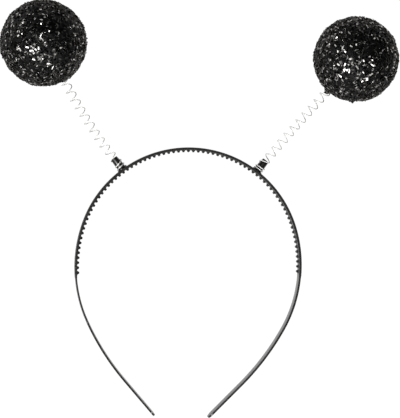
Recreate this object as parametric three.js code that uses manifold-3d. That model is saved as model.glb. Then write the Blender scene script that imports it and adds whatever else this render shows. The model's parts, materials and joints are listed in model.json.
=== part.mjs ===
// Antenna headband: a comb headband moulded in one with two pegs, two wire springs
// pushed over the pegs, and a glitter ball on the free end of each spring.
// It lies on its side on a surface at Z = 0, as it does by itself: X runs across the
// head, Y from the ear tips towards the balls, Z up. Millimetres throughout.

import * as THREE from "three";
import { mergeVertices } from "three/addons/utils/BufferGeometryUtils.js";
import Module from "manifold-3d";

const { degToRad, clamp, lerp } = THREE.MathUtils;

// Band: from the top down each side its outer face is three arcs, each flatter than the
// one above it, over the crown, the temples and the ears, and then a straight leg
const CROWN_RADIUS = 62.0;
const ARCS = [
  { radius: CROWN_RADIUS, angle: degToRad(71.4) },
  { radius: 72.9, angle: degToRad(45.45) },
  { radius: 140.9, angle: degToRad(15.75) },
];
const LEG_LENGTH = 25.7;
const BAND_WIDTH = 8.0;
const COMB_THICKNESS = 1.5;
const LEG_THICKNESS = 1.25;
const TIP_THICKNESS = 1.15;
const TIP_ROUNDING = 3.3;

// Where the comb ends the moulding steps down to the thinner legs, a little of it outside
const STEP_LENGTH = 1.5;
const OUTER_STEP = 0.12;

// Mould draft: both faces slope away from a flat strip along the middle of the width
const FLAT_STRIP_WIDTH = 1.6;
const DRAFT_PER_FACE = 0.06;

// Comb: one row of blunt teeth with round valleys down the middle of the inner face; it
// and the pegs lie a little to the left of the legs' middle
const TOOTH_COUNT = 75;
const TOOTH_PITCH = 2.815;
const TOOTH_HEIGHT = 1.25;
const TOOTH_TIP_WIDTH = 1.3;
const VALLEY_RIB = 0.15;
const COMB_WIDTH = 1.8;
const COMB_ROOT = 0.5;
const COMB_END_SLOPE = 1.4;
const COMB_SHIFT = -2.95;

// Pegs: a tapered stub on a wider foot, leaning a little out from square to the crown
const PEG_SPREAD = 39.8;
const PEG_SHIFT = -1.9;
const PEG_LEAN = degToRad(3);
const PEG_ROOT = 0.8;
const PEG_SECTIONS = [
  { height: -PEG_ROOT, radius: 2.95 },
  { height: 0.1, radius: 2.95 },
  { height: 0.45, radius: 2.6 },
  { height: 0.45, radius: 2.25 },
  { height: 3.4, radius: 2.25 },
  { height: 7.3, radius: 1.95 },
  { height: 7.5, radius: 1.75 },
];
const PEG_HEIGHT = PEG_SECTIONS.at(-1).height;
const PEG_SIDES = 24;

// Balls: they rest on the surface, so they lift the springs' ends above the band
const BALL_RADIUS = 23.25;
const BALL_DISTANCE = 141.5;
const BALL_ANGLE = degToRad(36.5);
const BALL_MERIDIANS = 32;
const BALL_RINGS = 20;

// Springs: right-handed coils, close where they grip the peg and open above it
const WIRE_RADIUS = 0.3;
const COIL_RADIUS = 2.35;
const GRIP_CLEARANCE = 0.2;
const GRIP_START = 0.9;
const GRIP_PITCH = 1.6;
const FREE_PITCH = 5.0;
const GRIP_TURNS = 1.25;
const OPENING_TURNS = 0.5;
const BEND_HEIGHT = 28.0;
const SPRING_IN_BALL = 6.0;
const HOLE_RADIUS = 3.0;
const HOLE_DEPTH = 6.6;
const HOLE_SIDES = 16;

// Fineness of the facets
const ARC_STEP = degToRad(4);
const VALLEY_STEPS = 5;
const TIP_STEPS = 10;
const WIRE_SIDES = 6;
const STEPS_PER_TURN = 14;
const SAMPLES_PER_STEP = 4;
const MERGE_TOLERANCE = 1e-5;

const HALF_LENGTH = ARCS.reduce((sum, { radius, angle }) => sum + radius * angle, LEG_LENGTH);
const COMB_HALF_LENGTH = ((TOOTH_COUNT - 1) * TOOTH_PITCH + TOOTH_TIP_WIDTH) / 2 + COMB_END_SLOPE;
const MID_WIDTH = BAND_WIDTH / 2;
const TIP_END_Y = belowOuterFace(HALF_LENGTH, 0).y;

const MOULDED_BLACK = new THREE.MeshStandardMaterial({ color: 0x0d0d0e, roughness: 0.28, metalness: 0 });
const NICKEL_WIRE = new THREE.MeshStandardMaterial({ color: 0xc4c6c8, roughness: 0.22, metalness: 1 });
const BLACK_GLITTER = new THREE.MeshStandardMaterial({ color: 0x0b0b0c, roughness: 0.45, metalness: 0.4 });

const wasm = await Module();
wasm.setup();

// A closed three.js geometry as a solid that can be joined and cut
function solidOf(geometry) {
  const bare = geometry.clone();
  bare.deleteAttribute("normal");
  bare.deleteAttribute("uv");
  const merged = mergeVertices(bare, MERGE_TOLERANCE);
  return new wasm.Manifold(
    new wasm.Mesh({
      numProp: 3,
      vertProperties: merged.attributes.position.array,
      triVerts: new Uint32Array(merged.index.array),
    }),
  );
}

// A solid back as a three.js geometry with flat facets
function geometryOf(solid) {
  const mesh = solid.getMesh();
  const indexed = new THREE.BufferGeometry();
  indexed.setAttribute("position", new THREE.BufferAttribute(mesh.vertProperties, 3));
  indexed.setIndex(new THREE.BufferAttribute(mesh.triVerts, 1));
  indexed.computeVertexNormals();
  return indexed;
}

// The band's outer face at a distance along it from the top, negative to the left
function outerFace(distance) {
  const side = Math.sign(distance);
  const point = new THREE.Vector2(0, CROWN_RADIUS);
  let rest = Math.abs(distance);
  let turn = 0;
  for (const { radius, angle } of ARCS) {
    const bend = Math.min(rest / radius, angle);
    point.x += radius * (Math.sin(turn + bend) - Math.sin(turn));
    point.y += radius * (Math.cos(turn + bend) - Math.cos(turn));
    rest -= radius * bend;
    turn += bend;
  }
  point.x = side * (point.x + rest * Math.cos(turn));
  point.y -= rest * Math.sin(turn);
  return { point, outward: new THREE.Vector2(side * Math.sin(turn), Math.cos(turn)) };
}

// 0 along the comb, rising to 1 on the bare legs past the comb's ends
function legShare(distance) {
  const past = Math.abs(distance - COMB_SHIFT) - COMB_HALF_LENGTH;
  return clamp(past / STEP_LENGTH, 0, 1);
}

function thicknessAt(distance) {
  const towardsTip = (Math.abs(distance) - COMB_HALF_LENGTH) / (HALF_LENGTH - COMB_HALF_LENGTH);
  const legThickness = lerp(LEG_THICKNESS, TIP_THICKNESS, clamp(towardsTip, 0, 1));
  return lerp(COMB_THICKNESS, legThickness, legShare(distance));
}

// A point at a depth below the band's outer face
function belowOuterFace(distance, depth) {
  const { point, outward } = outerFace(distance);
  return point.addScaledVector(outward, -depth - OUTER_STEP * legShare(distance));
}

// Distances along the band from tip to tip, closer on the arcs than on the straight legs
function bandStations() {
  const stations = [];
  for (const side of [-1, 1]) {
    let start = 0;
    for (const { radius, angle } of ARCS) {
      const steps = Math.ceil(angle / ARC_STEP);
      const length = radius * angle;
      for (let i = 0; i < steps; i++) stations.push(side * (start + (length * (i + 0.5)) / steps));
      start += length;
    }
    stations.push(side * start);
    stations.push(COMB_SHIFT + side * COMB_HALF_LENGTH);
    stations.push(COMB_SHIFT + side * (COMB_HALF_LENGTH + STEP_LENGTH));
    stations.push(side * HALF_LENGTH);
  }
  return stations.sort((a, b) => a - b);
}

// The arch, thickest along the middle of its width
function archSolid() {
  const stations = bandStations();
  const outer = stations.map((distance) => belowOuterFace(distance, 0));
  const inner = stations.map((distance) => belowOuterFace(distance, thicknessAt(distance)));
  const outline = new THREE.Shape([...outer, ...inner.reverse()]);
  const slope = (BAND_WIDTH - FLAT_STRIP_WIDTH) / 2;
  const geometry = new THREE.ExtrudeGeometry(outline, {
    depth: FLAT_STRIP_WIDTH,
    bevelThickness: slope,
    bevelSize: DRAFT_PER_FACE,
    bevelOffset: -DRAFT_PER_FACE,
    bevelSegments: 1,
  });
  geometry.translate(0, 0, slope);
  return solidOf(geometry);
}

// The comb row: its back lies inside the arch and its front is cut into teeth
function combSolid() {
  const valleyWidth = TOOTH_PITCH - TOOTH_TIP_WIDTH;
  const front = [];
  const back = [];
  const pushFront = (distance, height) => {
    front.push(belowOuterFace(distance, thicknessAt(distance) + height));
  };
  const pushBack = (distance) => {
    back.push(belowOuterFace(distance, thicknessAt(distance) - COMB_ROOT));
  };
  pushBack(COMB_SHIFT - COMB_HALF_LENGTH);
  for (let tooth = 0; tooth < TOOTH_COUNT; tooth++) {
    const centre = COMB_SHIFT + (tooth - (TOOTH_COUNT - 1) / 2) * TOOTH_PITCH;
    const tipEnd = centre + TOOTH_TIP_WIDTH / 2;
    pushBack(centre);
    pushFront(centre - TOOTH_TIP_WIDTH / 2, TOOTH_HEIGHT);
    pushFront(tipEnd, TOOTH_HEIGHT);
    if (tooth === TOOTH_COUNT - 1) break;
    for (let step = 1; step < VALLEY_STEPS; step++) {
      const share = step / VALLEY_STEPS;
      const roundness = Math.sqrt(1 - (2 * share - 1) ** 2);
      pushFront(tipEnd + valleyWidth * share, lerp(TOOTH_HEIGHT, VALLEY_RIB, roundness));
    }
  }
  pushBack(COMB_SHIFT + COMB_HALF_LENGTH);
  const outline = new THREE.Shape([...back, ...front.reverse()]);
  const geometry = new THREE.ExtrudeGeometry(outline, { depth: COMB_WIDTH, bevelEnabled: false });
  geometry.translate(0, 0, MID_WIDTH - COMB_WIDTH / 2);
  return solidOf(geometry);
}

// Everything but the corners of the two ear tips, as an outline seen along X
function tipRounding() {
  const margin = 1;
  const reach = CROWN_RADIUS + PEG_HEIGHT + margin;
  const start = TIP_END_Y + TIP_ROUNDING;
  const outline = new THREE.Shape();
  outline.moveTo(reach, -margin);
  outline.lineTo(reach, BAND_WIDTH + margin);
  outline.lineTo(start, BAND_WIDTH + margin);
  outline.lineTo(start, BAND_WIDTH);
  outline.absellipse(start, MID_WIDTH, TIP_ROUNDING, MID_WIDTH, Math.PI / 2, (3 * Math.PI) / 2, false, 0);
  outline.lineTo(start, -margin);
  const geometry = new THREE.ExtrudeGeometry(outline, {
    depth: 2 * reach,
    bevelEnabled: false,
    curveSegments: TIP_STEPS,
  });
  const alongX = new THREE.Matrix4().makeBasis(
    new THREE.Vector3(0, 1, 0),
    new THREE.Vector3(0, 0, 1),
    new THREE.Vector3(1, 0, 0),
  );
  geometry.translate(0, 0, -reach);
  geometry.applyMatrix4(alongX);
  return solidOf(geometry);
}

// Where an antenna stands on the crown: local X points out along its peg
function antennaFrame(side) {
  const distance = PEG_SHIFT + side * PEG_SPREAD;
  const { point } = outerFace(distance);
  const frame = new THREE.Group();
  frame.position.set(point.x, point.y, MID_WIDTH);
  frame.rotation.z = Math.PI / 2 - distance / CROWN_RADIUS - side * PEG_LEAN;
  frame.updateMatrix();
  return frame;
}

function pegSolid(side) {
  const wall = PEG_SECTIONS.map(({ height, radius }) => new THREE.Vector2(radius, height));
  const profile = [new THREE.Vector2(0, -PEG_ROOT), ...wall, new THREE.Vector2(0, PEG_HEIGHT)];
  const geometry = new THREE.LatheGeometry(profile, PEG_SIDES);
  geometry.rotateZ(-Math.PI / 2);
  geometry.applyMatrix4(antennaFrame(side).matrix);
  return solidOf(geometry);
}

function combHeadband() {
  const moulding = archSolid().add(combSolid()).add(pegSolid(-1)).add(pegSolid(1));
  const mesh = new THREE.Mesh(geometryOf(moulding.intersect(tipRounding())), MOULDED_BLACK);
  mesh.name = "comb_headband";
  return mesh;
}

function ballCentre(side) {
  const across = side * BALL_DISTANCE * Math.sin(BALL_ANGLE);
  return new THREE.Vector3(across, BALL_DISTANCE * Math.cos(BALL_ANGLE), BALL_RADIUS);
}

// Where a spring goes into its ball, on the antenna's own axes: the spring bends as if it
// were hinged on the peg's line
function springEnd(side) {
  const toAntenna = antennaFrame(side).matrix.invert();
  const centre = ballCentre(side).applyMatrix4(toAntenna);
  const direction = centre.clone().sub(new THREE.Vector3(BEND_HEIGHT, 0, 0)).normalize();
  const entry = centre.addScaledVector(direction, -BALL_RADIUS);
  return { entry, direction };
}

// The spring's centre line: straight up the peg, then bent up to the ball like a cantilever
function springAxis(side) {
  const { entry, direction } = springEnd(side);
  const end = entry.clone().addScaledVector(direction, SPRING_IN_BALL);
  const foot = new THREE.Vector3(0, 0, 0);
  const pegTop = new THREE.Vector3(PEG_HEIGHT, 0, 0);
  const third = (entry.x - pegTop.x) / 3;
  const leaving = pegTop.clone().setX(pegTop.x + third);
  const arriving = entry.clone().addScaledVector(direction, -third / direction.x);
  const axis = new THREE.CurvePath();
  axis.add(new THREE.LineCurve3(foot, pegTop));
  axis.add(new THREE.CubicBezierCurve3(pegTop, leaving, arriving, entry));
  axis.add(new THREE.LineCurve3(entry, end));
  return axis;
}

function pegRadiusAt(height) {
  const above = PEG_SECTIONS.findIndex((section) => section.height > height);
  if (above < 0) return 0;
  const low = PEG_SECTIONS[above - 1];
  const high = PEG_SECTIONS[above];
  return lerp(low.radius, high.radius, (height - low.height) / (high.height - low.height));
}

// The wire: a helix about the spring's axis that opens from the grip pitch to the free pitch
class SpringWire extends THREE.Curve {
  constructor(side) {
    super();
    this.axis = springAxis(side);
    this.axisLength = this.axis.getLength();
    const openEnd = GRIP_TURNS + OPENING_TURNS;
    this.turns = openEnd + (this.axisLength - this.heightAt(openEnd)) / FREE_PITCH;
    this.arcLengthDivisions = Math.ceil(this.turns * STEPS_PER_TURN * SAMPLES_PER_STEP);
  }

  heightAt(turn) {
    const share = clamp((turn - GRIP_TURNS) / OPENING_TURNS, 0, 1);
    const opened = OPENING_TURNS * (share ** 3 - share ** 4 / 2);
    const free = Math.max(turn - GRIP_TURNS - OPENING_TURNS, 0);
    return GRIP_START + GRIP_PITCH * turn + (FREE_PITCH - GRIP_PITCH) * (opened + free);
  }

  getPoint(t, target = new THREE.Vector3()) {
    const turn = t * this.turns;
    const height = this.heightAt(turn);
    const share = clamp(height / this.axisLength, 0, 1);
    const tangent = this.axis.getTangentAt(share);
    const upward = tangent.clone().cross(new THREE.Vector3(0, 1, 0)).normalize();
    const sideways = upward.clone().cross(tangent);
    const radius = Math.max(COIL_RADIUS, pegRadiusAt(height) + WIRE_RADIUS + GRIP_CLEARANCE);
    const angle = 2 * Math.PI * turn;
    target.copy(this.axis.getPointAt(share));
    target.addScaledVector(sideways, radius * Math.cos(angle));
    return target.addScaledVector(upward, radius * Math.sin(angle));
  }
}

function spring(name, side) {
  const wire = new SpringWire(side);
  const section = new THREE.Shape();
  for (let i = 0; i < WIRE_SIDES; i++) {
    const angle = (2 * Math.PI * i) / WIRE_SIDES;
    const x = WIRE_RADIUS * Math.cos(angle);
    const y = WIRE_RADIUS * Math.sin(angle);
    if (i === 0) section.moveTo(x, y);
    else section.lineTo(x, y);
  }
  section.closePath();
  const geometry = new THREE.ExtrudeGeometry(section, {
    steps: Math.ceil(wire.turns * STEPS_PER_TURN),
    extrudePath: wire,
  });
  const mesh = new THREE.Mesh(geometry, NICKEL_WIRE);
  mesh.name = name;
  return mesh;
}

// A ball about its own centre, with a blind hole for the end of its spring
function ball(name, side) {
  const sphere = new THREE.SphereGeometry(BALL_RADIUS, BALL_MERIDIANS, BALL_RINGS);
  sphere.rotateX(Math.PI / 2);
  const direction = springEnd(side).direction.transformDirection(antennaFrame(side).matrix);
  const hole = new THREE.CylinderGeometry(HOLE_RADIUS, HOLE_RADIUS, 2 * HOLE_DEPTH, HOLE_SIDES);
  hole.translate(0, -BALL_RADIUS, 0);
  hole.applyQuaternion(new THREE.Quaternion().setFromUnitVectors(new THREE.Vector3(0, 1, 0), direction));
  const mesh = new THREE.Mesh(geometryOf(solidOf(sphere).subtract(solidOf(hole))), BLACK_GLITTER);
  mesh.name = name;
  mesh.position.copy(ballCentre(side));
  return mesh;
}

const headpiece = new THREE.Group();
headpiece.add(combHeadband());
const sides = [
  { label: "left", side: -1 },
  { label: "right", side: 1 },
];
for (const { label, side } of sides) {
  const antenna = antennaFrame(side);
  antenna.add(spring(`spring_${label}`, side));
  headpiece.add(antenna, ball(`ball_${label}`, side));
}

// The origin is the middle of the whole object's footprint
const ballTop = ballCentre(1).y + BALL_RADIUS;
headpiece.position.y = -(ballTop + TIP_END_Y) / 2;

const antennaHeadband = new THREE.Group();
antennaHeadband.add(headpiece);

export default antennaHeadband;
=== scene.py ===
"""Antenna headband: a comb headband moulded with two pegs, two wire springs and two glitter balls.

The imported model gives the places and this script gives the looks, in metres and in the same
frame: X across the head, Y from the ear tips towards the balls, Z up from the table.
"""

import json
import logging
import math
from abc import ABC, abstractmethod
from collections.abc import Callable, Iterator, Mapping, Sequence
from contextlib import contextmanager
from dataclasses import dataclass
from enum import Enum
from typing import ClassVar

import bmesh
import bpy
import numpy as np
from mathutils import Matrix, Vector


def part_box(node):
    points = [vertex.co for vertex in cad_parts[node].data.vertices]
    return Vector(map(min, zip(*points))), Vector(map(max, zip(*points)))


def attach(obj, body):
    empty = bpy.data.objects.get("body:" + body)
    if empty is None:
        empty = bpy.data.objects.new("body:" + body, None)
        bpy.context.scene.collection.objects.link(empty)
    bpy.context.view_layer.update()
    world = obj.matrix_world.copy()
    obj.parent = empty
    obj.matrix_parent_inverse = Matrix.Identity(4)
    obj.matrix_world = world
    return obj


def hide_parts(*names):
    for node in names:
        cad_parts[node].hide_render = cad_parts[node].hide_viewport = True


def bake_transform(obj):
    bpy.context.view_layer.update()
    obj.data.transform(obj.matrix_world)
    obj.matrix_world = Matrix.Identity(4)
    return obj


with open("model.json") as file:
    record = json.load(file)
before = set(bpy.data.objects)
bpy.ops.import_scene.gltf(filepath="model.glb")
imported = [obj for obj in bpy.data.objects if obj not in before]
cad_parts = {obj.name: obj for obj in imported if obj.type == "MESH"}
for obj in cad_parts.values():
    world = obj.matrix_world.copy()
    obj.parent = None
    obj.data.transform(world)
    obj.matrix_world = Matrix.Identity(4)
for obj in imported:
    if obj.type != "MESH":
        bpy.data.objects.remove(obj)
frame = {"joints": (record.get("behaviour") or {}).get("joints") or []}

MM = 0.001
FULL_TURN = 2 * math.pi
NEAR = 0.01 * MM
MERGE_DISTANCE = 0.001 * MM
SHARP = math.radians(60)
SOFT = math.radians(35)
BAND_WIDTH = 8.0 * MM
COMB_THICKNESS = 1.5 * MM
CROWN_RADIUS = 62.0 * MM
PEG_SHIFT = -1.9 * MM
PEG_SPREAD = 39.8 * MM
PEG_LEAN = math.radians(3)
BEND_HEIGHT = 28.0 * MM
FIRST_SEED = 7
FLAT = "flat"
FLAKE = "flake"
LOG = logging.getLogger("antenna_headband")

Colour = tuple[float, float, float, float]
Place = tuple[float, float, float]
Span = tuple[float, float]
Sockets = dict[str | int, object]
MeshItem = bmesh.types.BMVert | bmesh.types.BMEdge | bmesh.types.BMFace

WHITE: Colour = (1.0, 1.0, 1.0, 1.0)


class Side(Enum):
    """The two sides of the headband, as the sign of X there."""

    LEFT = -1
    RIGHT = 1

    @property
    def label(self) -> str:
        """The side's plain name."""
        return self.name.lower()


class Slot(Enum):
    """The record's material slots."""

    MOULDED_BLACK = "moulded_black"
    NICKEL_WIRE = "nickel_wire"
    BLACK_GLITTER = "black_glitter"


class Element(Enum):
    """What edit mode selects."""

    VERTEX = "VERT"
    EDGE = "EDGE"
    FACE = "FACE"


@dataclass(frozen=True)
class Grain:
    """Noise with a number of features to the metre, and how much finer noise it carries."""

    scale: float
    detail: float = 2.0


@dataclass(frozen=True)
class Relief:
    """How strongly a height field tips a surface, and how deep it is."""

    strength: float
    depth: float


class Value:
    """A shader socket that takes part in Python arithmetic by adding Math nodes."""

    def __init__(self, graph: "ShaderGraph", socket: bpy.types.NodeSocket) -> None:
        """Wraps one output socket of a graph."""
        self.graph = graph
        self.socket = socket

    def _math(self, operation: str, first: "Operand", second: "Operand") -> "Value":
        """Adds one Math node."""
        return self.graph.node("ShaderNodeMath", {"operation": operation}, {0: first, 1: second})

    def __add__(self, other: "Operand") -> "Value":
        """The sum with another value or a number."""
        return self._math("ADD", self, other)

    __radd__ = __add__

    def __sub__(self, other: "Operand") -> "Value":
        """This value less another."""
        return self._math("SUBTRACT", self, other)

    def __rsub__(self, other: "Operand") -> "Value":
        """A number less this value."""
        return self._math("SUBTRACT", other, self)

    def __mul__(self, other: "Operand") -> "Value":
        """The product with another value or a number."""
        return self._math("MULTIPLY", self, other)

    __rmul__ = __mul__

    def __abs__(self) -> "Value":
        """The value without its sign."""
        return self._math("ABSOLUTE", self, 0.0)


Operand = Value | float


class ShaderGraph:
    """The node tree of one material or world."""

    MIX_SHARE = 0
    MIX_COLOURS = (6, 7)
    MIX_RESULT = 2

    def __init__(self, tree: bpy.types.NodeTree) -> None:
        """Takes over a tree and empties it."""
        self.tree = tree
        tree.nodes.clear()

    def node(
        self,
        kind: str,
        settings: Mapping[str, object] | None = None,
        inputs: Sockets | None = None,
        output: str | int = 0,
    ) -> Value:
        """Adds any node.

        Args:
            kind: The node's type name.
            settings: Properties of the node, set before its sockets; stops are a ramp's stops.
            inputs: A number, colour or Value for each socket that is set or linked.
            output: The socket that is returned.

        Returns:
            The chosen output of the new node.
        """
        made = self.tree.nodes.new(kind)
        for name, setting in (settings or {}).items():
            if name == "stops":
                self._set_stops(made.color_ramp, setting)
            else:
                setattr(made, name, setting)
        for name, value in (inputs or {}).items():
            if isinstance(value, Value):
                self.tree.links.new(value.socket, made.inputs[name])
            else:
                made.inputs[name].default_value = value
        return Value(self, made.outputs[output])

    @staticmethod
    def _set_stops(ramp: bpy.types.ColorRamp, stops: Sequence[tuple[float, Colour]]) -> None:
        """Gives a colour ramp its stops.

        Args:
            ramp: The ramp, with the two stops that a new one has.
            stops: Each stop's place and colour, in order.
        """
        while len(ramp.elements) < len(stops):
            ramp.elements.new(1.0)
        for element, (place, colour) in zip(ramp.elements, stops):
            element.position = place
            element.color = colour

    def attribute(self, name: str) -> Value:
        """The vector that a mesh stores under a name."""
        return self.node("ShaderNodeAttribute", {"attribute_name": name}, output="Vector")

    def object_place(self) -> Value:
        """The point's place in its object, in metres."""
        return self.node("ShaderNodeTexCoord", output="Object")

    def part(self, vector: Value, axis: str) -> Value:
        """One coordinate of a vector."""
        return self.node("ShaderNodeSeparateXYZ", inputs={"Vector": vector}, output=axis)

    def stretched(self, vector: Value, factors: Place) -> Value:
        """A vector with each coordinate multiplied by its own factor."""
        return self.node(
            "ShaderNodeVectorMath", {"operation": "MULTIPLY"}, {0: vector, 1: factors}
        )

    def noise(self, vector: Value, grain: Grain) -> Value:
        """Soft noise from 0 to 1."""
        inputs = {"Vector": vector, "Scale": grain.scale, "Detail": grain.detail}
        return self.node("ShaderNodeTexNoise", inputs=inputs)

    def between(self, value: Value, span: Span) -> Value:
        """A smooth step from 0 at a span's start to 1 at its end."""
        return self.node(
            "ShaderNodeMapRange",
            {"interpolation_type": "SMOOTHSTEP"},
            {"Value": value, "From Min": span[0], "From Max": span[1]},
        )

    def blended(self, share: Value, first: Value | Colour, second: Colour) -> Value:
        """A colour that turns from the first to the second with a share."""
        inputs = {self.MIX_SHARE: share} | dict(zip(self.MIX_COLOURS, (first, second)))
        return self.node("ShaderNodeMix", {"data_type": "RGBA"}, inputs, self.MIX_RESULT)

    def bump(self, height: Value, relief: Relief) -> Value:
        """A normal that a height field tips."""
        inputs = {"Height": height, "Strength": relief.strength, "Distance": relief.depth}
        return self.node("ShaderNodeBump", inputs=inputs)

    def surface(self, shader: Value, output_kind: str = "ShaderNodeOutputMaterial") -> None:
        """Links a shader to a new output node of the tree."""
        output = self.tree.nodes.new(output_kind)
        self.tree.links.new(shader.socket, output.inputs["Surface"])


class Finish(ABC):
    """A finish that is one shader in a material of its own."""

    NAME: ClassVar[str]

    @abstractmethod
    def sockets(self, graph: ShaderGraph) -> Sockets:
        """Lays out the nodes that feed the shader.

        Args:
            graph: The material's nodes.

        Returns:
            A number, colour or Value for each socket of the shader that is set or linked.
        """

    def material(self) -> bpy.types.Material:
        """Makes the material.

        Returns:
            The material.
        """
        made = bpy.data.materials.new(self.NAME)
        made.use_nodes = True
        graph = ShaderGraph(made.node_tree)
        graph.surface(graph.node("ShaderNodeBsdfPrincipled", inputs=self.sockets(graph)))
        return made


@dataclass(frozen=True)
class MouldedPlastic(Finish):
    """Glossy black plastic, scuffed along the moulding, worn at its edges and rubbed dull inside."""

    NAME = "moulded_black_plastic"

    black: Colour = (0.0044, 0.0041, 0.0038, 1.0)
    bloom: Colour = (0.0088, 0.0082, 0.0076, 1.0)
    worn: Colour = (0.0220, 0.0210, 0.0200, 1.0)
    gloss: float = 0.14
    scuffed: float = 0.10
    clouded: float = 0.35
    rubbed: float = 0.14
    worn_dull: float = 0.08
    worn_pale: float = 0.3
    refraction: float = 1.5
    half_width: float = BAND_WIDTH / 2
    wear_width: float = 0.35 * MM
    inner_face: Span = (0.96 * COMB_THICKNESS, COMB_THICKNESS)
    comb_foot: Span = (1.02 * COMB_THICKNESS, 1.08 * COMB_THICKNESS)
    streak_stretch: Place = (0.06, 1.0, 1.0)
    streak_grain: Grain = Grain(2200.0, 3.0)
    streak_span: Span = (0.52, 0.74)
    cloud_grain: Grain = Grain(140.0, 3.0)
    patch_grain: Grain = Grain(620.0)
    patch_span: Span = (0.48, 0.68)
    skin_grain: Grain = Grain(900.0, 1.0)
    scuff_height: float = 0.35
    relief: Relief = Relief(0.10, 0.05 * MM)

    def sockets(self, graph: ShaderGraph) -> Sockets:
        """Lays the finish out on the flat coordinates that each moulded mesh stores.

        Args:
            graph: The material's nodes.

        Returns:
            What each socket of the shader takes.
        """
        flat = graph.attribute(FLAT)
        streaks = graph.noise(graph.stretched(flat, self.streak_stretch), self.streak_grain)
        clouds = graph.noise(flat, self.cloud_grain)
        patches = graph.noise(flat, self.patch_grain)
        rim = abs(graph.part(flat, "Z") - self.half_width)
        edge = graph.between(rim, (self.half_width - self.wear_width, self.half_width))
        wear = edge * graph.between(patches, self.patch_span)
        scuffs = graph.between(streaks, self.streak_span)
        depth = 0.0 - graph.part(flat, "Y")
        in_comb = graph.between(depth, self.comb_foot)
        inside = graph.between(depth, self.inner_face) * (1.0 - in_comb)
        scuffing = self.scuffed * (self.clouded * clouds + scuffs)
        roughness = self.gloss + scuffing + self.worn_dull * wear
        skin = graph.blended(clouds, self.black, self.bloom)
        heights = graph.noise(flat, self.skin_grain) + self.scuff_height * scuffs
        return {
            "Base Color": graph.blended(self.worn_pale * wear, skin, self.worn),
            "Roughness": roughness + self.rubbed * inside,
            "IOR": self.refraction,
            "Normal": graph.bump(heights, self.relief),
        }


@dataclass(frozen=True)
class DrawnWire(Finish):
    """Bright nickel on drawn steel wire, duller in patches."""

    NAME = "nickel_wire"

    bright: Colour = (0.72, 0.72, 0.71, 1.0)
    dull: Colour = (0.60, 0.60, 0.59, 1.0)
    gloss: float = 0.64
    spread: float = 0.15
    patch_grain: Grain = Grain(420.0, 3.0)
    patch_span: Span = (0.45, 0.75)
    line_grain: Grain = Grain(5200.0)
    relief: Relief = Relief(0.08, 0.02 * MM)

    def sockets(self, graph: ShaderGraph) -> Sockets:
        """Lays the finish out on Object coordinates.

        Args:
            graph: The material's nodes.

        Returns:
            What each socket of the shader takes.
        """
        place = graph.object_place()
        patches = graph.between(graph.noise(place, self.patch_grain), self.patch_span)
        lines = graph.noise(place, self.line_grain)
        return {
            "Base Color": graph.blended(patches, self.bright, self.dull),
            "Metallic": 1.0,
            "Roughness": self.gloss + self.spread * (0.5 * patches + 0.5 * lines),
            "Normal": graph.bump(lines, self.relief),
        }


@dataclass(frozen=True)
class GlitterFilm(Finish):
    """Flakes of metallised film under black lacquer, each a little lighter or duller than the next."""

    NAME = "black_glitter_film"

    black: Colour = (0.006, 0.006, 0.006, 1.0)
    smoke: Colour = (0.080, 0.078, 0.075, 1.0)
    silver: Colour = (0.540, 0.527, 0.513, 1.0)
    edge_tint: Colour = (0.35, 0.34, 0.33, 1.0)
    smoke_share: float = 0.78
    gloss: float = 0.05
    spread: float = 0.14
    crumple_grain: Grain = Grain(1900.0, 1.0)
    relief: Relief = Relief(0.12, 0.04 * MM)

    def sockets(self, graph: ShaderGraph) -> Sockets:
        """Lays the finish out on the random numbers that each flake stores.

        Args:
            graph: The material's nodes.

        Returns:
            What each socket of the shader takes.
        """
        flake = graph.attribute(FLAKE)
        stops = [(0.0, self.black), (self.smoke_share, self.smoke), (1.0, self.silver)]
        tone = graph.node("ShaderNodeValToRGB", {"stops": stops}, {"Fac": graph.part(flake, "X")})
        crumple = graph.noise(graph.object_place(), self.crumple_grain)
        return {
            "Base Color": tone,
            "Metallic": 1.0,
            "Roughness": self.gloss + self.spread * graph.part(flake, "Y"),
            "Specular Tint": self.edge_tint,
            "Normal": graph.bump(crumple, self.relief),
        }


@dataclass(frozen=True)
class BlackGlue(Finish):
    """The black glue under the flakes, grainy with crushed glitter."""

    NAME = "black_glue"

    black: Colour = (0.0005, 0.0005, 0.0005, 1.0)
    dusty: Colour = (0.0024, 0.0023, 0.0022, 1.0)
    gloss: float = 0.38
    spread: float = 0.25
    shine: float = 0.10
    crumbs_per_metre: float = 2400.0
    cloud_grain: Grain = Grain(500.0)
    relief: Relief = Relief(0.3, 0.12 * MM)

    def sockets(self, graph: ShaderGraph) -> Sockets:
        """Lays the finish out on Object coordinates.

        Args:
            graph: The material's nodes.

        Returns:
            What each socket of the shader takes.
        """
        place = graph.object_place()
        inputs = {"Vector": place, "Scale": self.crumbs_per_metre}
        crumbs = graph.node("ShaderNodeTexVoronoi", inputs=inputs, output="Distance")
        clouds = graph.noise(place, self.cloud_grain)
        return {
            "Base Color": graph.blended(clouds, self.black, self.dusty),
            "Roughness": self.gloss + self.spread * clouds,
            "Specular IOR Level": self.shine,
            "Normal": graph.bump(crumbs, self.relief),
        }


@dataclass(frozen=True)
class PaleTable(Finish):
    """A plain white light table that the headband lies on."""

    NAME = "pale_table"

    pale: Colour = (0.040, 0.040, 0.040, 1.0)
    shade: Colour = (0.036, 0.036, 0.036, 1.0)
    dullness: float = 0.9
    glow: float = 1.0
    mottle_grain: Grain = Grain(30.0)

    def sockets(self, graph: ShaderGraph) -> Sockets:
        """Lays the finish out on Object coordinates.

        Args:
            graph: The material's nodes.

        Returns:
            What each socket of the shader takes.
        """
        mottle = graph.noise(graph.object_place(), self.mottle_grain)
        return {
            "Base Color": graph.blended(mottle, self.pale, self.shade),
            "Roughness": self.dullness,
            "Specular IOR Level": 0.0,
            "Emission Color": WHITE,
            "Emission Strength": self.glow,
        }


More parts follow.
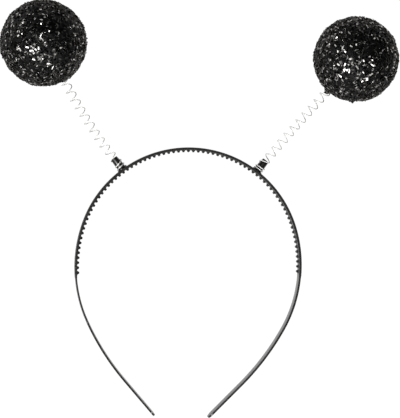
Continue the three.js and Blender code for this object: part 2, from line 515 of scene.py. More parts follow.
def activate(obj: bpy.types.Object) -> None:
    """Makes an object the only selected one."""
    bpy.ops.object.select_all(action="DESELECT")
    obj.select_set(True)
    bpy.context.view_layer.objects.active = obj


def started(name: str) -> bpy.types.Object:
    """Names the primitive that was just added and puts its place into its mesh.

    Args:
        name: The piece's name.

    Returns:
        The object, at the origin, unturned and unscaled.
    """
    obj = bpy.context.view_layer.objects.active
    obj.name = name
    obj.data.name = name
    activate(obj)
    bpy.ops.object.transform_apply(location=True, rotation=True, scale=True)
    return obj


def add_box(name: str, low: Place, high: Place) -> bpy.types.Object:
    """Adds a box primitive between two corners.

    Args:
        name: The piece's name.
        low: The lowest corner.
        high: The highest corner.

    Returns:
        The object.
    """
    centre = [(a + b) / 2 for a, b in zip(low, high)]
    size = [b - a for a, b in zip(low, high)]
    bpy.ops.object.select_all(action="DESELECT")
    bpy.ops.mesh.primitive_cube_add(size=1.0, location=centre, scale=size)
    return started(name)


def add_disc(name: str, sides: int, radius: float, height: float) -> bpy.types.Object:
    """Adds a level disc primitive on the Z axis.

    Args:
        name: The piece's name.
        sides: How many sides its rim has.
        radius: The rim's radius.
        height: The disc's height.

    Returns:
        The object.
    """
    bpy.ops.object.select_all(action="DESELECT")
    bpy.ops.mesh.primitive_circle_add(
        vertices=sides, radius=radius, fill_type="NGON", location=(0, 0, height)
    )
    return started(name)


@contextmanager
def editing(obj: bpy.types.Object, element: Element) -> Iterator[None]:
    """Opens a mesh in edit mode with nothing selected, and closes it afterwards.

    Args:
        obj: The object to edit.
        element: What the edit selects.

    Yields:
        Nothing; operators act on the open mesh.
    """
    activate(obj)
    bpy.ops.object.mode_set(mode="EDIT")
    bpy.ops.mesh.select_mode(type=element.value)
    bpy.ops.mesh.select_all(action="DESELECT")
    yield
    bpy.ops.object.mode_set(mode="OBJECT")


def pick(obj: bpy.types.Object, element: Element, test: Callable[[MeshItem], bool]) -> None:
    """Selects the elements of an open mesh that pass a test, and no others.

    Args:
        obj: The object that is being edited.
        element: What is selected, which is also the edit's own mode.
        test: Says whether a vertex, edge or face is wanted.
    """
    bpy.ops.mesh.select_all(action="DESELECT")
    mesh = bmesh.from_edit_mesh(obj.data)
    groups = {Element.VERTEX: mesh.verts, Element.EDGE: mesh.edges, Element.FACE: mesh.faces}
    for item in groups[element]:
        if test(item):
            item.select_set(True)
    mesh.select_flush_mode()
    bmesh.update_edit_mesh(obj.data)


def cut(place: Place, normal: Place) -> None:
    """Cuts the whole open mesh along a plane."""
    bpy.ops.mesh.select_all(action="SELECT")
    bpy.ops.mesh.bisect(plane_co=place, plane_no=normal)


def bevel(offset: float, segments: int) -> None:
    """Rounds the selected edges of the open mesh."""
    bpy.ops.mesh.bevel(offset=offset, segments=segments, affect="EDGES")


def close_mesh(obj: bpy.types.Object) -> None:
    """Merges doubled vertices and turns every face outwards."""
    with editing(obj, Element.VERTEX):
        bpy.ops.mesh.select_all(action="SELECT")
        bpy.ops.mesh.remove_doubles(threshold=MERGE_DISTANCE)
        bpy.ops.mesh.normals_make_consistent(inside=False)


def apply_modifier(obj: bpy.types.Object, kind: str, settings: Mapping[str, object]) -> None:
    """Adds a modifier to an object and applies it.

    Args:
        obj: The object.
        kind: The modifier's type.
        settings: The modifier's properties.
    """
    activate(obj)
    modifier = obj.modifiers.new(kind.lower(), kind)
    for name, value in settings.items():
        setattr(modifier, name, value)
    bpy.ops.object.modifier_apply(modifier=modifier.name)


def smooth(obj: bpy.types.Object, angle: float = SOFT) -> None:
    """Shades an object smooth up to an angle between faces."""
    activate(obj)
    bpy.ops.object.shade_smooth_by_angle(angle=angle)


def unit(vectors: np.ndarray) -> np.ndarray:
    """Vectors of length 1 in the same directions."""
    return vectors / np.linalg.norm(vectors, axis=1)[:, None]


def read_points(obj: bpy.types.Object) -> np.ndarray:
    """The vertices of a mesh, a row each."""
    points = np.empty(len(obj.data.vertices) * 3)
    obj.data.vertices.foreach_get("co", points)
    return points.reshape(-1, 3)


def write_points(obj: bpy.types.Object, points: np.ndarray) -> None:
    """Moves the vertices of a mesh to new places."""
    obj.data.vertices.foreach_set("co", points.ravel())
    obj.data.update()


def store_vectors(obj: bpy.types.Object, name: str, vectors: np.ndarray) -> None:
    """Stores a vector for each vertex of a mesh under a name that a finish reads."""
    stored = obj.data.attributes.new(name, "FLOAT_VECTOR", "POINT")
    stored.data.foreach_set("vector", vectors.astype(np.float32).ravel())


def dress(obj: bpy.types.Object, finish: bpy.types.Material, node: str) -> None:
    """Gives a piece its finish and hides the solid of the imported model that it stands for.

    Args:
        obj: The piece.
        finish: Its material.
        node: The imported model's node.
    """
    obj.data.materials.clear()
    obj.data.materials.append(finish)
    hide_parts(node)
    LOG.info("%s: %d faces", obj.name, len(obj.data.polygons))


@dataclass(frozen=True)
class AntennaPlace:
    """Where one antenna stands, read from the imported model."""

    side: Side
    crown_y: float
    foot: Vector
    direction: Vector
    ball_centre: Vector
    ball_radius: float

    @classmethod
    def read(cls, side: Side) -> "AntennaPlace":
        """Works an antenna's place out from its ball and from its hinge on the peg's line.

        Args:
            side: Which antenna.

        Returns:
            The place, with a level direction out along the peg.
        """
        low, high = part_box(f"ball_{side.label}")
        joint = next(j for j in frame["joints"] if j["name"] == f"{side.label}_sway")
        angle = (PEG_SHIFT + side.value * PEG_SPREAD) / CROWN_RADIUS
        heading = angle + side.value * PEG_LEAN
        direction = Vector((math.sin(heading), math.cos(heading), 0))
        foot = Vector(joint["pos_m"]) - direction * BEND_HEIGHT
        crown_y = foot.y - CROWN_RADIUS * math.cos(angle)
        return cls(side, crown_y, foot, direction, (low + high) / 2, (high.z - low.z) / 2)

    @property
    def matrix(self) -> Matrix:
        """The turn and move from the antenna's own axes, X out along the peg and Z up, to the frame."""
        out = self.direction
        sideways = Vector((-out.y, out.x, 0))
        columns = Matrix((out, sideways, Vector((0, 0, 1)))).transposed()
        return Matrix.Translation(self.foot) @ columns.to_4x4()


@dataclass(frozen=True)
class Arc:
    """One arc of the band's line."""

    radius: float
    angle: float


@dataclass(frozen=True)
class BandLine:
    """The line of the band's outer face: three arcs down each side, then a straight leg."""

    crown_y: float
    arcs: tuple[Arc, ...] = (
        Arc(CROWN_RADIUS, math.radians(71.4)),
        Arc(72.9 * MM, math.radians(45.45)),
        Arc(140.9 * MM, math.radians(15.75)),
    )
    leg_length: float = 25.7 * MM

    @property
    def half_length(self) -> float:
        """The length from the top to an ear tip."""
        return sum(arc.radius * arc.angle for arc in self.arcs) + self.leg_length

    def place(self, distance: np.ndarray, depth: np.ndarray) -> np.ndarray:
        """Points below the outer face.

        Args:
            distance: How far each point is along the face from the top, negative to the left.
            depth: How far each point is below the face.

        Returns:
            X and Y of each point, a row each.
        """
        rest = np.abs(distance)
        turn = np.zeros_like(rest)
        across = np.zeros_like(rest)
        along = np.full_like(rest, CROWN_RADIUS)
        for arc in self.arcs:
            bend = np.minimum(rest / arc.radius, arc.angle)
            across += arc.radius * (np.sin(turn + bend) - np.sin(turn))
            along += arc.radius * (np.cos(turn + bend) - np.cos(turn))
            turn += bend
            rest -= arc.radius * bend
        across += rest * np.cos(turn) - depth * np.sin(turn)
        along -= rest * np.sin(turn) + depth * np.cos(turn)
        return np.column_stack([np.sign(distance) * across, along + self.crown_y])


@dataclass(frozen=True)
class PegSection:
    """One ring of a peg's outline."""

    height: float
    radius: float


PEG_SECTIONS = (
    PegSection(-0.8 * MM, 2.95 * MM),
    PegSection(0.3 * MM, 2.95 * MM),
    PegSection(0.65 * MM, 2.7 * MM),
    PegSection(0.66 * MM, 2.25 * MM),
    PegSection(3.4 * MM, 2.25 * MM),
    PegSection(7.3 * MM, 1.95 * MM),
    PegSection(7.5 * MM, 1.75 * MM),
)


@dataclass(frozen=True)
class CombHeadband:
    """The plastic moulding: a springy arch, a row of comb teeth inside it and two pegs."""

    line: BandLine
    antennas: tuple[AntennaPlace, AntennaPlace]
    width: float = BAND_WIDTH
    comb_thickness: float = COMB_THICKNESS
    leg_thickness: float = 1.25 * MM
    tip_thickness: float = 1.15 * MM
    tip_rounding: float = 3.5 * MM
    tip_segments: int = 10
    step_length: float = 1.5 * MM
    step_cuts: int = 7
    outer_step: float = 0.12 * MM
    flat_strip: float = 1.6 * MM
    draft: float = 0.06 * MM
    edge_rounding: float = 0.08 * MM
    edge_segments: int = 3
    crease: float = math.radians(20)
    station_spacing: float = 1.3 * MM
    tooth_count: int = 75
    tooth_pitch: float = 2.815 * MM
    tooth_height: float = 1.25 * MM
    tooth_tip: float = 1.3 * MM
    tooth_columns: int = 28
    tooth_crest: float = 0.2 * MM
    tooth_narrowing: float = 0.15
    tooth_rounding: float = 0.15 * MM
    tooth_seam: float = 0.002 * MM
    valley_rib: float = 0.15 * MM
    comb_width: float = 1.8 * MM
    comb_root: float = 0.5 * MM
    comb_end: float = 1.4 * MM
    comb_end_share: float = 0.2
    comb_shift: float = -2.95 * MM
    peg_sides: int = 48
    peg_rounding: float = 0.16 * MM
    peg_crease: float = math.radians(25)

    NODE = "comb_headband"
    BODY = "band"

    @property
    def comb_half_length(self) -> float:
        """Half of the comb row's length, its end slopes included."""
        return ((self.tooth_count - 1) * self.tooth_pitch + self.tooth_tip) / 2 + self.comb_end

    def bend(self, obj: bpy.types.Object) -> None:
        """Bends a flat moulding round the band's line and thins it along the legs.

        Args:
            obj: A mesh with X along the band, -Y inwards from its outer face and Z across it.
        """
        flat = read_points(obj)
        store_vectors(obj, FLAT, flat)
        distance, depth, height = flat[:, 0], -flat[:, 1], flat[:, 2]
        past = np.abs(distance - self.comb_shift) - self.comb_half_length
        leg = np.clip(past / self.step_length, 0, 1)
        leg = leg * leg * (3 - 2 * leg)
        to_tip = (np.abs(distance) - self.comb_half_length) / (
            self.line.half_length - self.comb_half_length
        )
        leg_thickness = self.leg_thickness + np.clip(to_tip, 0, 1) * (
            self.tip_thickness - self.leg_thickness
        )
        thickness = self.comb_thickness + leg * (leg_thickness - self.comb_thickness)
        inside = np.minimum(depth / self.comb_thickness, 1)
        proud = np.maximum(depth - self.comb_thickness, 0)
        slope = (self.width - self.flat_strip) / 2
        from_middle = np.abs(height - self.width / 2) - self.flat_strip / 2
        draft = self.draft * np.clip(from_middle / slope, 0, 1) * (1 - 2 * inside)
        sunk = inside * thickness + draft + proud + self.outer_step * leg
        write_points(obj, np.column_stack([self.line.place(distance, sunk), height]))

    def stations(self) -> list[float]:
        """Where the flat bar is cut across so that it can bend.

        Returns:
            Distances from the top, close together where the thickness steps down.
        """
        straight_end = self.line.half_length - self.tip_rounding
        count = math.ceil(2 * straight_end / self.station_spacing)
        places = list(np.linspace(-straight_end, straight_end, count))
        fine = np.linspace(0, self.step_length, self.step_cuts)
        for side in Side:
            places.extend(self.comb_shift + side.value * (self.comb_half_length + fine))
        return sorted(float(place) for place in places)

    def build_arch(self) -> bpy.types.Object:
        """Models the arch as a flat bar with rounded tips and edges, then bends it.

        Returns:
            The arch.
        """
        half = self.line.half_length
        bar = add_box("band_arch", (-half, -self.comb_thickness, 0), (half, 0, self.width))
        with editing(bar, Element.EDGE):
            pick(bar, Element.EDGE, lambda edge: edge.calc_length() < self.comb_thickness + NEAR)
            bevel(self.tip_rounding, self.tip_segments)
            pick(bar, Element.EDGE, lambda edge: edge.calc_face_angle() > SHARP)
            bevel(self.edge_rounding, self.edge_segments)
            for strip_edge in (-self.flat_strip, self.flat_strip):
                cut((0, 0, (self.width + strip_edge) / 2), (0, 0, 1))
            for station in self.stations():
                cut((station, 0, 0), (1, 0, 0))
        close_mesh(bar)
        self.bend(bar)
        smooth(bar, self.crease)
        return bar

    def tooth_outline(self, share: float) -> float:
        """How high the comb stands at a place in one pitch.

        Args:
            share: The place, from -1 in one valley through 0 at the tip to 1 in the next.

        Returns:
            The height above the band's inner face.
        """
        tip_share = self.tooth_tip / self.tooth_pitch
        reach = max(abs(share) - tip_share, 0) / (1 - tip_share)
        hollow = math.sqrt(1 - (1 - reach) ** 2)
        crest = self.tooth_crest * min(abs(share) / tip_share, 1) ** 2
        height = self.tooth_height + hollow * (self.valley_rib - self.tooth_height)
        return height - crest * (1 - hollow)

    def build_comb(self) -> bpy.types.Object:
        """Models one tooth as a length of bar, repeats it and bends the row.

        Returns:
            The comb row.
        """
        half_pitch = self.tooth_pitch / 2
        back = -(self.comb_thickness - self.comb_root)
        face = -self.comb_thickness
        low = self.width / 2 - self.comb_width / 2
        high = self.width / 2 + self.comb_width / 2
        row = add_box("band_comb", (-half_pitch, face, low), (half_pitch, back, high))
        with editing(row, Element.FACE):
            pick(row, Element.FACE, lambda side: abs(side.normal.x) > math.cos(SHARP))
            bpy.ops.mesh.delete(type="ONLY_FACE")
        with editing(row, Element.EDGE):
            pick(row, Element.EDGE, lambda edge: edge.calc_length() > self.tooth_pitch - NEAR)
            bpy.ops.mesh.subdivide(number_cuts=self.tooth_columns - 1)
        self.raise_tooth(row)
        with editing(row, Element.EDGE):
            pick(row, Element.EDGE, self.is_tooth_shoulder)
            bevel(self.tooth_rounding, self.edge_segments)
        apply_modifier(
            row,
            "ARRAY",
            {
                "count": self.tooth_count,
                "use_relative_offset": False,
                "use_constant_offset": True,
                "constant_offset_displace": (self.tooth_pitch, 0, 0),
                "use_merge_vertices": True,
                "merge_threshold": self.tooth_seam,
            },
        )
        middle = self.comb_shift - (self.tooth_count - 1) * self.tooth_pitch / 2
        row.data.transform(Matrix.Translation((middle, 0, 0)))
        self.close_row(row)
        close_mesh(row)
        self.bend(row)
        smooth(row, self.crease)
        return row

    def raise_tooth(self, row: bpy.types.Object) -> None:
        """Pulls each column of the first tooth out to its height and narrows it towards the tip.

        Args:
            row: The open length of bar, cut into columns.
        """
        middle = Vector((0, 0, self.width / 2))
        with editing(row, Element.VERTEX):
            for column in range(self.tooth_columns + 1):
                share = 2 * column / self.tooth_columns - 1
                place = share * self.tooth_pitch / 2
                height = self.tooth_outline(share)

                def on_column(vertex: bmesh.types.BMVert) -> bool:
                    """Whether a vertex is on this column's front."""
                    near = abs(vertex.co.x - place) < NEAR
                    return near and vertex.co.y < -self.comb_thickness + NEAR

                pick(row, Element.VERTEX, on_column)
                bpy.ops.transform.translate(value=(0, -height, 0))
                narrowed = 1 - self.tooth_narrowing * height / self.tooth_height
                bpy.ops.transform.resize(value=(1, 1, narrowed), center_override=middle)

    def is_tooth_shoulder(self, edge: bmesh.types.BMEdge) -> bool:
        """Whether an edge runs along the front of the tooth, where its top meets a side."""
        run = abs(edge.verts[0].co.x - edge.verts[1].co.x)
        front = max(vertex.co.y for vertex in edge.verts) < -self.comb_thickness
        return run > NEAR and front

    def close_row(self, row: bpy.types.Object) -> None:
        """Slopes both open ends of the row down into the band and closes them.

        Args:
            row: The row of teeth, open at both ends.
        """
        open_half = self.tooth_count * self.tooth_pitch / 2
        run = self.comb_half_length - open_half
        root = (0, -self.comb_thickness + self.comb_root, 0)
        for side in Side:
            end = self.comb_shift + side.value * open_half

            def at_end(edge: bmesh.types.BMEdge) -> bool:
                """Whether an edge bounds this end's opening."""
                return all(abs(vertex.co.x - end) < NEAR for vertex in edge.verts)

            with editing(row, Element.EDGE):
                pick(row, Element.EDGE, at_end)
                bpy.ops.mesh.extrude_edges_move(
                    TRANSFORM_OT_translate={"value": (side.value * run, 0, 0)}
                )
                bpy.ops.transform.resize(value=(1, self.comb_end_share, 1), center_override=root)
                bpy.ops.mesh.edge_face_add()

    def build_peg(self, antenna: AntennaPlace) -> bpy.types.Object:
        """Models a peg as a disc that is drawn up section by section.

        Args:
            antenna: Where the peg stands.

        Returns:
            The peg.
        """
        root = PEG_SECTIONS[0]
        name = f"peg_{antenna.side.label}"
        peg = add_disc(name, self.peg_sides, root.radius, root.height)
        with editing(peg, Element.FACE):
            bpy.ops.mesh.select_all(action="SELECT")
            for below, above in zip(PEG_SECTIONS, PEG_SECTIONS[1:]):
                rise = above.height - below.height
                share = above.radius / below.radius
                bpy.ops.mesh.extrude_region_move(TRANSFORM_OT_translate={"value": (0, 0, rise)})
                bpy.ops.transform.resize(
                    value=(share, share, 1), center_override=(0, 0, above.height)
                )
        close_mesh(peg)
        apply_modifier(
            peg,
            "BEVEL",
            {
                "width": self.peg_rounding,
                "segments": self.edge_segments,
                "limit_method": "ANGLE",
                "angle_limit": self.peg_crease,
            },
        )
        store_vectors(peg, FLAT, read_points(peg) + np.array([0.0, root.radius, self.width / 2]))
        upright_to_out = Matrix.Rotation(math.pi / 2, 4, "Y")
        peg.data.transform(antenna.matrix @ upright_to_out)
        smooth(peg)
        return peg

    def build(self, plastic: bpy.types.Material) -> None:
        """Models the moulding's pieces and dresses them.

        Args:
            plastic: The moulding's finish.
        """
        pieces = [self.build_arch(), self.build_comb()]
        pieces.extend(self.build_peg(antenna) for antenna in self.antennas)
        for piece in pieces:
            dress(piece, plastic, self.NODE)
            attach(piece, self.BODY)


@dataclass(frozen=True)
class Grip:
    """The close turns at the foot of a spring."""

    start: float
    pitch: float
    turns: float


GRIPS = {
    Side.LEFT: Grip(1.11 * MM, 1.75 * MM, 1.05),
    Side.RIGHT: Grip(0.92 * MM, 1.3 * MM, 1.25),
}


@dataclass(frozen=True)
class WireSpring:
    """A spring of round wire: close turns that grip the peg, then open turns up to the ball."""

    antenna: AntennaPlace
    wire_radius: float = 0.3 * MM
    wire_roundness: int = 3
    coil_radius: float = 2.35 * MM
    grip_clearance: float = 0.05 * MM
    free_pitch: float = 5.0 * MM
    opening_turns: float = 0.5
    length_in_ball: float = 6.0 * MM
    steps_per_turn: int = 32
    axis_steps: int = 240

    @property
    def peg_height(self) -> float:
        """How far the peg stands above the band."""
        return PEG_SECTIONS[-1].height

    def ball_entry(self) -> tuple[Vector, Vector]:
        """Where the spring goes into its ball.

        Returns:
            The point on the ball and the spring's direction there, on the antenna's own axes.
        """
        centre = self.antenna.matrix.inverted() @ self.antenna.ball_centre
        direction = (centre - Vector((BEND_HEIGHT, 0, 0))).normalized()
        return centre - direction * self.antenna.ball_radius, direction

    def axis(self) -> np.ndarray:
        """The spring's centre line: straight up the peg, then bent up to the ball.

        Returns:
            Points close together on the antenna's own axes, a row each.
        """
        entry, direction = self.ball_entry()
        top = Vector((self.peg_height, 0, 0))
        third = (entry.x - top.x) / 3
        leaving = Vector((top.x + third, 0, 0))
        arriving = entry - direction * (third / direction.x)
        share = np.linspace(0, 1, self.axis_steps)[:, None]
        bent = (
            (1 - share) ** 3 * np.array(top)
            + 3 * (1 - share) ** 2 * share * np.array(leaving)
            + 3 * (1 - share) * share**2 * np.array(arriving)
            + share**3 * np.array(entry)
        )
        end = entry + direction * self.length_in_ball
        return np.vstack([np.zeros(3), bent, np.array(end)])

    def height_at(self, turn: np.ndarray) -> np.ndarray:
        """How far along the axis the wire has come after some turns.

        Args:
            turn: Numbers of turns from the wire's lower end.

        Returns:
            Distances along the axis.
        """
        grip = GRIPS[self.antenna.side]
        share = np.clip((turn - grip.turns) / self.opening_turns, 0, 1)
        opened = self.opening_turns * (share**3 - share**4 / 2)
        free = np.maximum(turn - grip.turns - self.opening_turns, 0)
        widening = (self.free_pitch - grip.pitch) * (opened + free)
        return grip.start + grip.pitch * turn + widening

    def wire_points(self) -> np.ndarray:
        """The wire's centre line.

        Returns:
            Points on the antenna's own axes, a row each.
        """
        axis = self.axis()
        run = np.concatenate([[0], np.cumsum(np.linalg.norm(np.diff(axis, axis=0), axis=1))])
        open_end = GRIPS[self.antenna.side].turns + self.opening_turns
        open_height = float(self.height_at(np.array(open_end)))
        turns = open_end + (run[-1] - open_height) / self.free_pitch
        turn = np.linspace(0, turns, math.ceil(turns * self.steps_per_turn))
        height = self.height_at(turn)
        centre = np.column_stack([np.interp(height, run, axis[:, i]) for i in range(3)])
        tangent = unit(np.gradient(centre, axis=0))
        upward = unit(np.cross(tangent, (0, 1, 0)))
        sideways = np.cross(upward, tangent)
        heights = [section.height for section in PEG_SECTIONS]
        radii = [section.radius for section in PEG_SECTIONS]
        peg = np.interp(height, heights, radii, right=0.0)
        radius = np.maximum(self.coil_radius, peg + self.wire_radius + self.grip_clearance)
        angle = FULL_TURN * turn[:, None]
        return centre + radius[:, None] * (sideways * np.cos(angle) + upward * np.sin(angle))

    def build(self, wire: bpy.types.Material) -> None:
        """Makes the spring along its bent line between the band and its ball, and dresses it.

        Args:
            wire: The wire's finish.
        """
        side = self.antenna.side
        matrix = self.antenna.matrix
        points = self.wire_points()
        curve = bpy.data.curves.new(f"wire_spring_{side.label}", "CURVE")
        curve.dimensions = "3D"
        curve.bevel_depth = self.wire_radius
        curve.bevel_resolution = self.wire_roundness
        curve.use_fill_caps = True
        spline = curve.splines.new("POLY")
        spline.points.add(len(points) - 1)
        for spot, place in zip(spline.points, points):
            spot.co = (*(matrix @ Vector(place)), 1.0)
        spring = bpy.data.objects.new(curve.name, curve)
        bpy.context.scene.collection.objects.link(spring)
        activate(spring)
        bpy.ops.object.convert(target="MESH")
        spring = bpy.context.view_layer.objects.active
        close_mesh(spring)
        smooth(spring, SHARP)
        dress(spring, wire, f"spring_{side.label}")
        entry, _ = self.ball_entry()
        matrix @ entry
        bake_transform(spring)


@dataclass(frozen=True)
class GlueDrop:
    """A swelling of the glue on a ball."""

    direction: Vector
    height: float
    radius: float


COLLARS = {
    Side.LEFT: {"height": 1.4 * MM, "radius": 2.3 * MM},
    Side.RIGHT: {"height": 2.5 * MM, "radius": 2.0 * MM},
}
RUN_DROPS = {
    Side.LEFT: (),
    Side.RIGHT: (GlueDrop(Vector((-0.04, -1.0, 0.0)), 1.2 * MM, 0.9 * MM),),
}
FLAKE_LEVELS = (-0.5, 0.5)
FLAKE_CORNERS = ((-1, -1), (1, -1), (1, 1), (-1, 1))
FLAKE_POINTS = len(FLAKE_LEVELS) * len(FLAKE_CORNERS)
FLAKE_FACES = (
    (3, 2, 1, 0),
    (4, 5, 6, 7),
    (0, 1, 5, 4),
    (1, 2, 6, 5),
    (2, 3, 7, 6),
    (3, 0, 4, 7),
)


@dataclass(frozen=True)
class GlitterBall:
    """A foam ball in black glue with a coat of coarse glitter, and drops where the glue has run."""

    antenna: AntennaPlace
    drops: tuple[GlueDrop, ...]
    seed: int
    coat: float = 0.45 * MM
    core_subdivisions: int = 7
    lump_size: float = 6.0 * MM
    lump_height: float = 0.9 * MM
    grain_size: float = 2.0 * MM
    grain_height: float = 0.5 * MM
    flake_count: int = 5600
    flake_length: Span = (0.9 * MM, 2.4 * MM)
    flake_width: Span = (0.5 * MM, 0.9 * MM)
    flake_unevenness: Span = (0.75, 1.1)
    flake_thickness: float = 0.05 * MM
    flake_lift: Span = (0.02 * MM, 0.10 * MM)
    flake_tilt: float = math.radians(12)
    stray_share: float = 0.02
    stray_tilt: float = math.radians(30)
    lowest_flake: float = 0.02 * MM

    @property
    def body(self) -> str:
        """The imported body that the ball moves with."""
        return f"bobble_{self.antenna.side.label}"

    @property
    def node(self) -> str:
        """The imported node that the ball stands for."""
        return f"ball_{self.antenna.side.label}"

    def build_core(self) -> bpy.types.Object:
        """Models the glued foam ball: a sphere with lumps, grains and drops of glue.

        Returns:
            The core.
        """
        radius = self.antenna.ball_radius - self.coat
        bpy.ops.object.select_all(action="DESELECT")
        bpy.ops.mesh.primitive_ico_sphere_add(
            subdivisions=self.core_subdivisions, radius=radius, location=self.antenna.ball_centre
        )
        core = started(f"ball_core_{self.antenna.side.label}")
        for label, size, height in (
            ("lumps", self.lump_size, self.lump_height),
            ("grains", self.grain_size, self.grain_height),
        ):
            clouds = bpy.data.textures.new(f"{core.name}_{label}", "CLOUDS")
            clouds.noise_scale = size
            clouds.noise_depth = 1
            apply_modifier(
                core,
                "DISPLACE",
                {"texture": clouds, "strength": height, "texture_coords": "LOCAL", "mid_level": 0.5},
            )
        points = read_points(core)
        outward = unit(points - np.array(self.antenna.ball_centre))
        swelling = np.zeros(len(points))
        for drop in self.drops:
            away = radius * np.linalg.norm(outward - np.array(drop.direction), axis=1)
            swelling += drop.height * np.exp(-((away / drop.radius) ** 2))
        write_points(core, points + outward * swelling[:, None])
        smooth(core)
        return core

    def lay_flakes(self, core: bpy.types.Object, rng: np.random.Generator) -> np.ndarray:
        """Lays flakes over the core, most of them nearly flat and a few tipped further up.

        Args:
            core: The finished core.
            rng: Where the random numbers come from.

        Returns:
            The corners of all the flakes, a row each, flake by flake.
        """
        count = self.flake_count
        faces = core.data.polygons
        centres = np.empty(len(faces) * 3)
        normals = np.empty(len(faces) * 3)
        faces.foreach_get("center", centres)
        faces.foreach_get("normal", normals)
        chosen = rng.choice(len(faces), count, replace=False)
        centre = centres.reshape(-1, 3)[chosen]
        normal = normals.reshape(-1, 3)[chosen]
        tilt = np.where(rng.random(count) < self.stray_share, self.stray_tilt, self.flake_tilt)
        random_way = rng.normal(size=(count, 3))
        across = unit(np.cross(normal, random_way))
        along = np.cross(normal, across)
        leaning = unit(
            normal
            + across * (tilt * rng.normal(size=count))[:, None]
            + along * (tilt * rng.normal(size=count))[:, None]
        )
        across = unit(across - leaning * np.sum(across * leaning, axis=1)[:, None])
        along = np.cross(leaning, across)
        lift = rng.uniform(*self.flake_lift, count)
        half_length = rng.uniform(*self.flake_length, count) / 2
        half_width = rng.uniform(*self.flake_width, count) / 2
        middle = centre + normal * lift[:, None]
        corners = []
        for level in FLAKE_LEVELS:
            for forward, sideways in FLAKE_CORNERS:
                uneven = rng.uniform(*self.flake_unevenness, (count, 2))
                corners.append(
                    middle
                    + across * (forward * half_length * uneven[:, 0])[:, None]
                    + along * (sideways * half_width * uneven[:, 1])[:, None]
                    + leaning * (level * self.flake_thickness)
                )
        points = np.stack(corners, axis=1).reshape(-1, 3)
        points[:, 2] = np.maximum(points[:, 2], self.lowest_flake)
        return points

    def build_glitter(self, core: bpy.types.Object) -> bpy.types.Object:
        """Makes the coat of flakes, each with random numbers for its finish.

        Args:
            core: The finished core.

        Returns:
            All the flakes as one mesh.
        """
        rng = np.random.default_rng(self.seed)
        points = self.lay_flakes(core, rng)
        first_points = FLAKE_POINTS * np.arange(self.flake_count)
        plates = np.array(FLAKE_FACES)[None] + first_points[:, None, None]
        name = f"ball_glitter_{self.antenna.side.label}"
        mesh = bpy.data.meshes.new(name)
        mesh.from_pydata(points, [], plates.reshape(-1, len(FLAKE_CORNERS)))
        glitter = bpy.data.objects.new(name, mesh)
        bpy.context.scene.collection.objects.link(glitter)
        numbers = rng.random((self.flake_count, 3))
        store_vectors(glitter, FLAKE, np.repeat(numbers, FLAKE_POINTS, axis=0))
        return glitter

    def build(self, glue: bpy.types.Material, film: bpy.types.Material) -> None:
        """Models the ball and dresses it.

        Args:
            glue: The finish of the core.
            film: The finish of the flakes.
        """
        core = self.build_core()
        glitter = self.build_glitter(core)
        for piece, finish in ((core, glue), (glitter, film)):
            dress(piece, finish, self.node)
            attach(piece, self.body)


@dataclass(frozen=True)
class Softbox:
    """An oblong area light."""

    name: str
    place: Place
    width: float
    height: float
    radiance: float

    def build(self, target: Vector) -> None:
        """Adds the light, facing a target.

        Args:
            target: The point that it faces.
        """
        light = bpy.data.lights.new(self.name, "AREA")
        light.shape = "RECTANGLE"
        light.size = self.width
        light.size_y = self.height
        light.energy = self.radiance * math.pi * self.width * self.height
        holder = bpy.data.objects.new(self.name, light)
        holder.location = self.place
        holder.rotation_euler = (target - Vector(self.place)).to_track_quat("-Z", "Y").to_euler()
        bpy.context.scene.collection.objects.link(holder)


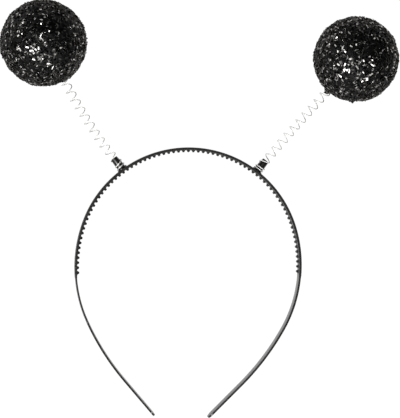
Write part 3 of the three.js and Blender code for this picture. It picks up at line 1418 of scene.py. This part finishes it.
@dataclass(frozen=True)
class Studio:
    """The white table, the soft lights and the camera."""

    table_radius: float = 4.0
    table_sides: int = 128
    table_drop: float = 0.1 * MM
    target: Place = (4.74 * MM, 3.47 * MM, 8.0 * MM)
    distance: float = 900.0 * MM
    lean_sideways: float = math.radians(-4.5)
    lean_up: float = math.radians(2.0)
    roll: float = math.radians(2.69)
    focal_pixels: float = 1642.8
    picture_long_side: float = 418.0
    sensor: float = 36.0
    zenith: float = 0.03
    horizon: float = 0.06
    lit_place: Place = (0.0, 0.04, 0.02)
    lights: tuple[Softbox, ...] = (
        Softbox("key_softbox", (-0.12, -0.66, 0.92), 1.5, 0.6, 8.0),
        Softbox("left_softbox", (-0.46, -0.22, 1.04), 0.4, 0.5, 8.0),
        Softbox("front_softbox", (0.05, 0.10, 1.2), 1.0, 0.6, 0.4),
        Softbox("side_softbox", (-0.96, 0.5, 0.57), 0.35, 0.35, 10.0),
    )

    def build_table(self) -> None:
        """Adds the round table just below the headband."""
        table = add_disc("table", self.table_sides, self.table_radius, -self.table_drop)
        table.data.materials.append(PaleTable().material())

    def build_world(self) -> None:
        """Surrounds the table with a dim room that is darker overhead."""
        world = bpy.data.worlds.new("dim_room")
        world.use_nodes = True
        graph = ShaderGraph(world.node_tree)
        direction = graph.node("ShaderNodeTexCoord", output="Generated")
        height = graph.between(graph.part(direction, "Z"), (0.0, 1.0))
        strength = self.horizon + height * (self.zenith - self.horizon)
        inputs = {"Color": WHITE, "Strength": strength}
        background = graph.node("ShaderNodeBackground", inputs=inputs)
        graph.surface(background, "ShaderNodeOutputWorld")
        bpy.context.scene.world = world

    def build_camera(self) -> None:
        """Adds the camera where the photograph was taken from."""
        target = Vector(self.target)
        back = Vector(
            (
                math.sin(self.lean_sideways) * math.cos(self.lean_up),
                math.sin(self.lean_up),
                math.cos(self.lean_sideways) * math.cos(self.lean_up),
            )
        )
        level = Vector((0, 1, 0)).cross(back).normalized()
        right = Matrix.Rotation(self.roll, 3, back) @ level
        up = back.cross(right)
        turn = Matrix((right, up, back)).transposed().to_4x4()
        data = bpy.data.cameras.new("camera")
        data.sensor_width = self.sensor
        data.lens = self.focal_pixels / self.picture_long_side * self.sensor
        camera = bpy.data.objects.new("camera", data)
        camera.matrix_world = Matrix.Translation(target + back * self.distance) @ turn
        bpy.context.scene.collection.objects.link(camera)
        bpy.context.scene.camera = camera

    def build(self) -> None:
        """Sets the whole stage."""
        self.build_table()
        self.build_world()
        self.build_camera()
        for light in self.lights:
            light.build(Vector(self.lit_place))
        bpy.context.scene.view_settings.view_transform = "Standard"


def main() -> None:
    """Builds the headband on its stage."""
    logging.basicConfig(level=logging.INFO, format="%(name)s %(message)s")
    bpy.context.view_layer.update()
    antennas = tuple(AntennaPlace.read(side) for side in Side)
    line = BandLine(antennas[0].crown_y)
    CombHeadband(line, antennas).build(MouldedPlastic().material())
    wire = DrawnWire().material()
    glue = BlackGlue().material()
    film = GlitterFilm().material()
    for seed, antenna in enumerate(antennas, start=FIRST_SEED):
        spring = WireSpring(antenna)
        spring.build(wire)
        entry = antenna.matrix @ spring.ball_entry()[0]
        towards_spring = (entry - antenna.ball_centre).normalized()
        collar = GlueDrop(towards_spring, **COLLARS[antenna.side])
        GlitterBall(antenna, (collar, *RUN_DROPS[antenna.side]), seed).build(glue, film)
    Studio().build()


if __name__ == "__main__":
    main()
